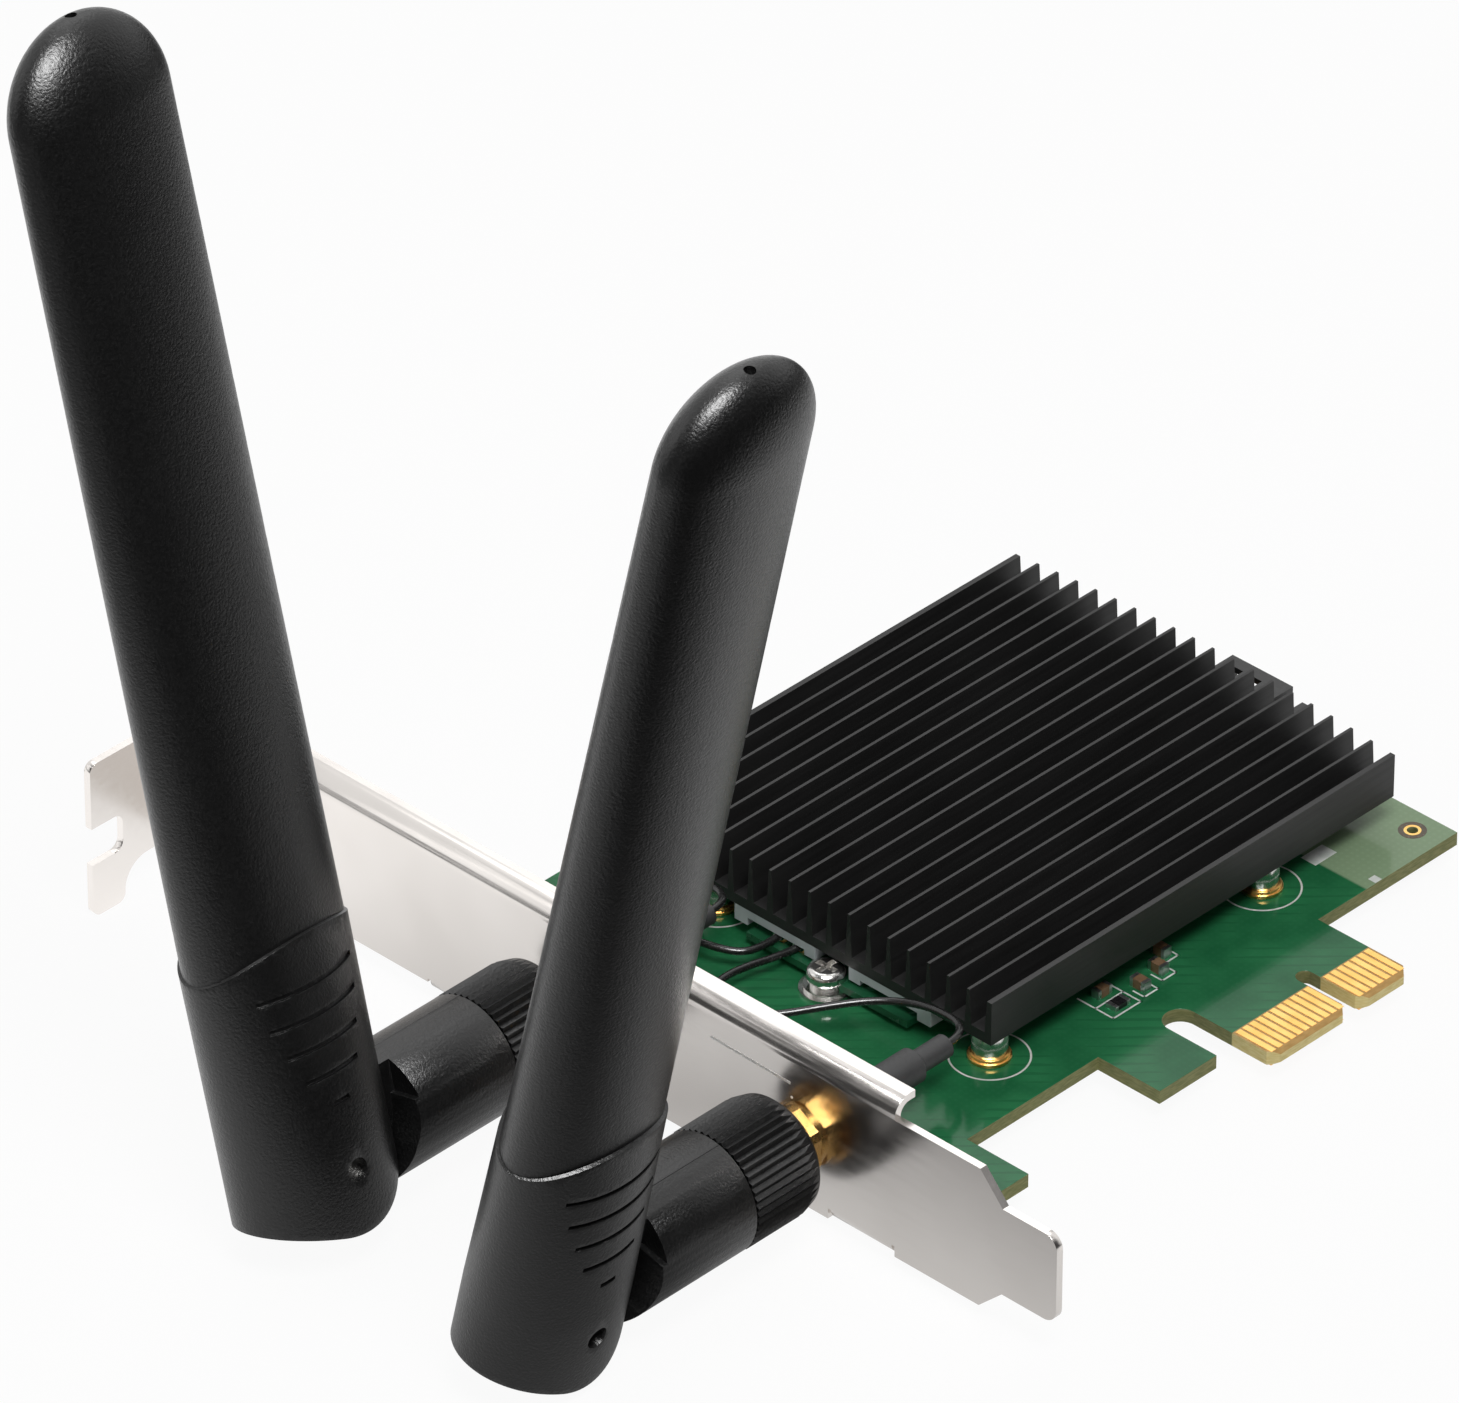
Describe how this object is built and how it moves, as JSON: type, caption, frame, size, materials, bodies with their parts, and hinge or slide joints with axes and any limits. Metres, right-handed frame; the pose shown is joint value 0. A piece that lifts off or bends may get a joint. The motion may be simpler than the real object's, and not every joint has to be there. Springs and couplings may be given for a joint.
{
  "type": "wireless network card",
  "caption": "Green plug-in wireless network card with a steel slot bracket, a black finned heatsink over its radio module, and black folding swivel aerials on gold jacks.",
  "frame": {"origin": "Centre of the key notch on the finger edge, in the component face of the board, where the card enters its socket.", "axes": "+X from the bracket into the card, +Y from the fingers towards the screw tab, +Z out of the component face."},
  "size_m": [0.1372, 0.12, 0.1271],
  "materials": {
    "solder_mask": "glossy green solder mask",
    "module_mask": "glossy dark green solder mask",
    "contact_gold": "gold plating",
    "jack_gold": "polished gold plating",
    "bracket_steel": "satin nickel plating",
    "screw_steel": "bright nickel plating",
    "shield_tin": "tin plating",
    "heatsink_black": "black anodised",
    "thermal_pad": "soft matte pad",
    "connector_black": "moulded black",
    "insulator_white": "white insulator",
    "chip_tan": "tan ceramic",
    "chip_black": "black ceramic",
    "boot_black": "shrunk sleeve",
    "coax_black": "smooth jacket",
    "aerial_black": "fine satin texture"
  },
  "bodies": {
    "card": {"circuit_board": "solder_mask", "edge_contacts": "contact_gold", "io_bracket": "bracket_steel", "bracket_screws": "screw_steel", "heatsink": "heatsink_black", "standoff_collars": "contact_gold", "heatsink_standoffs": "screw_steel", "heatsink_screws": "screw_steel", "module_board": "module_mask", "module_shield": "shield_tin", "module_socket": "connector_black", "module_standoff": "screw_steel", "module_screw": "screw_steel", "module_receptacles": "contact_gold", "lower_thermal_pad": "thermal_pad", "upper_thermal_pad": "thermal_pad", "lead_header": "connector_black", "lead_header_pins": "contact_gold", "chip_capacitors": "chip_tan", "chip_resistor": "chip_black", "chip_terminals": "shield_tin", "lower_jack_body": "jack_gold", "lower_jack_insulator": "insulator_white", "lower_jack_pin": "jack_gold", "lower_jack_washer": "jack_gold", "lower_jack_nut": "jack_gold", "lower_cable_boot": "boot_black", "lower_pigtail": "coax_black", "lower_coax_plug": "contact_gold", "upper_jack_body": "jack_gold", "upper_jack_insulator": "insulator_white", "upper_jack_pin": "jack_gold", "upper_jack_washer": "jack_gold", "upper_jack_nut": "jack_gold", "upper_cable_boot": "boot_black", "upper_pigtail": "coax_black", "upper_coax_plug": "contact_gold"},
    "lower_nut": {"lower_coupling_nut": "aerial_black", "lower_coupling_insert": "jack_gold"},
    "lower_stem": {"lower_stem": "aerial_black", "lower_plug_contact": "jack_gold"},
    "lower_aerial": {"lower_hinge_base": "aerial_black", "lower_hinge_pin": "screw_steel", "lower_blade": "aerial_black"},
    "upper_nut": {"upper_coupling_nut": "aerial_black", "upper_coupling_insert": "jack_gold"},
    "upper_stem": {"upper_stem": "aerial_black", "upper_plug_contact": "jack_gold"},
    "upper_aerial": {"upper_hinge_base": "aerial_black", "upper_hinge_pin": "screw_steel", "upper_blade": "aerial_black"}
  },
  "joints": [
    {"name": "lower_nut_turn", "type": "hinge", "parent": "card", "child": "lower_nut", "pos_m": [-0.0597, 0.01937, 0.00557], "axis": [1, 0, 0], "continuous": true},
    {"name": "lower_swivel", "type": "hinge", "parent": "card", "child": "lower_stem", "pos_m": [-0.0949, 0.01937, 0.00557], "axis": [1, 0, 0], "range_deg": [-12.9, 167.1]},
    {"name": "lower_fold", "type": "hinge", "parent": "lower_stem", "child": "lower_aerial", "pos_m": [-0.0949, 0.01937, 0.00557], "axis": [0, -0.9748, -0.2233], "range_deg": [0, 90]},
    {"name": "upper_nut_turn", "type": "hinge", "parent": "card", "child": "upper_nut", "pos_m": [-0.0597, 0.05162, 0.00557], "axis": [1, 0, 0], "continuous": true},
    {"name": "upper_swivel", "type": "hinge", "parent": "card", "child": "upper_stem", "pos_m": [-0.0949, 0.05162, 0.00557], "axis": [-1, 0, 0], "range_deg": [-13.7, 166.3]},
    {"name": "upper_fold", "type": "hinge", "parent": "upper_stem", "child": "upper_aerial", "pos_m": [-0.0949, 0.05162, 0.00557], "axis": [0, -0.9715, 0.2368], "range_deg": [0, 90]}
  ]
}
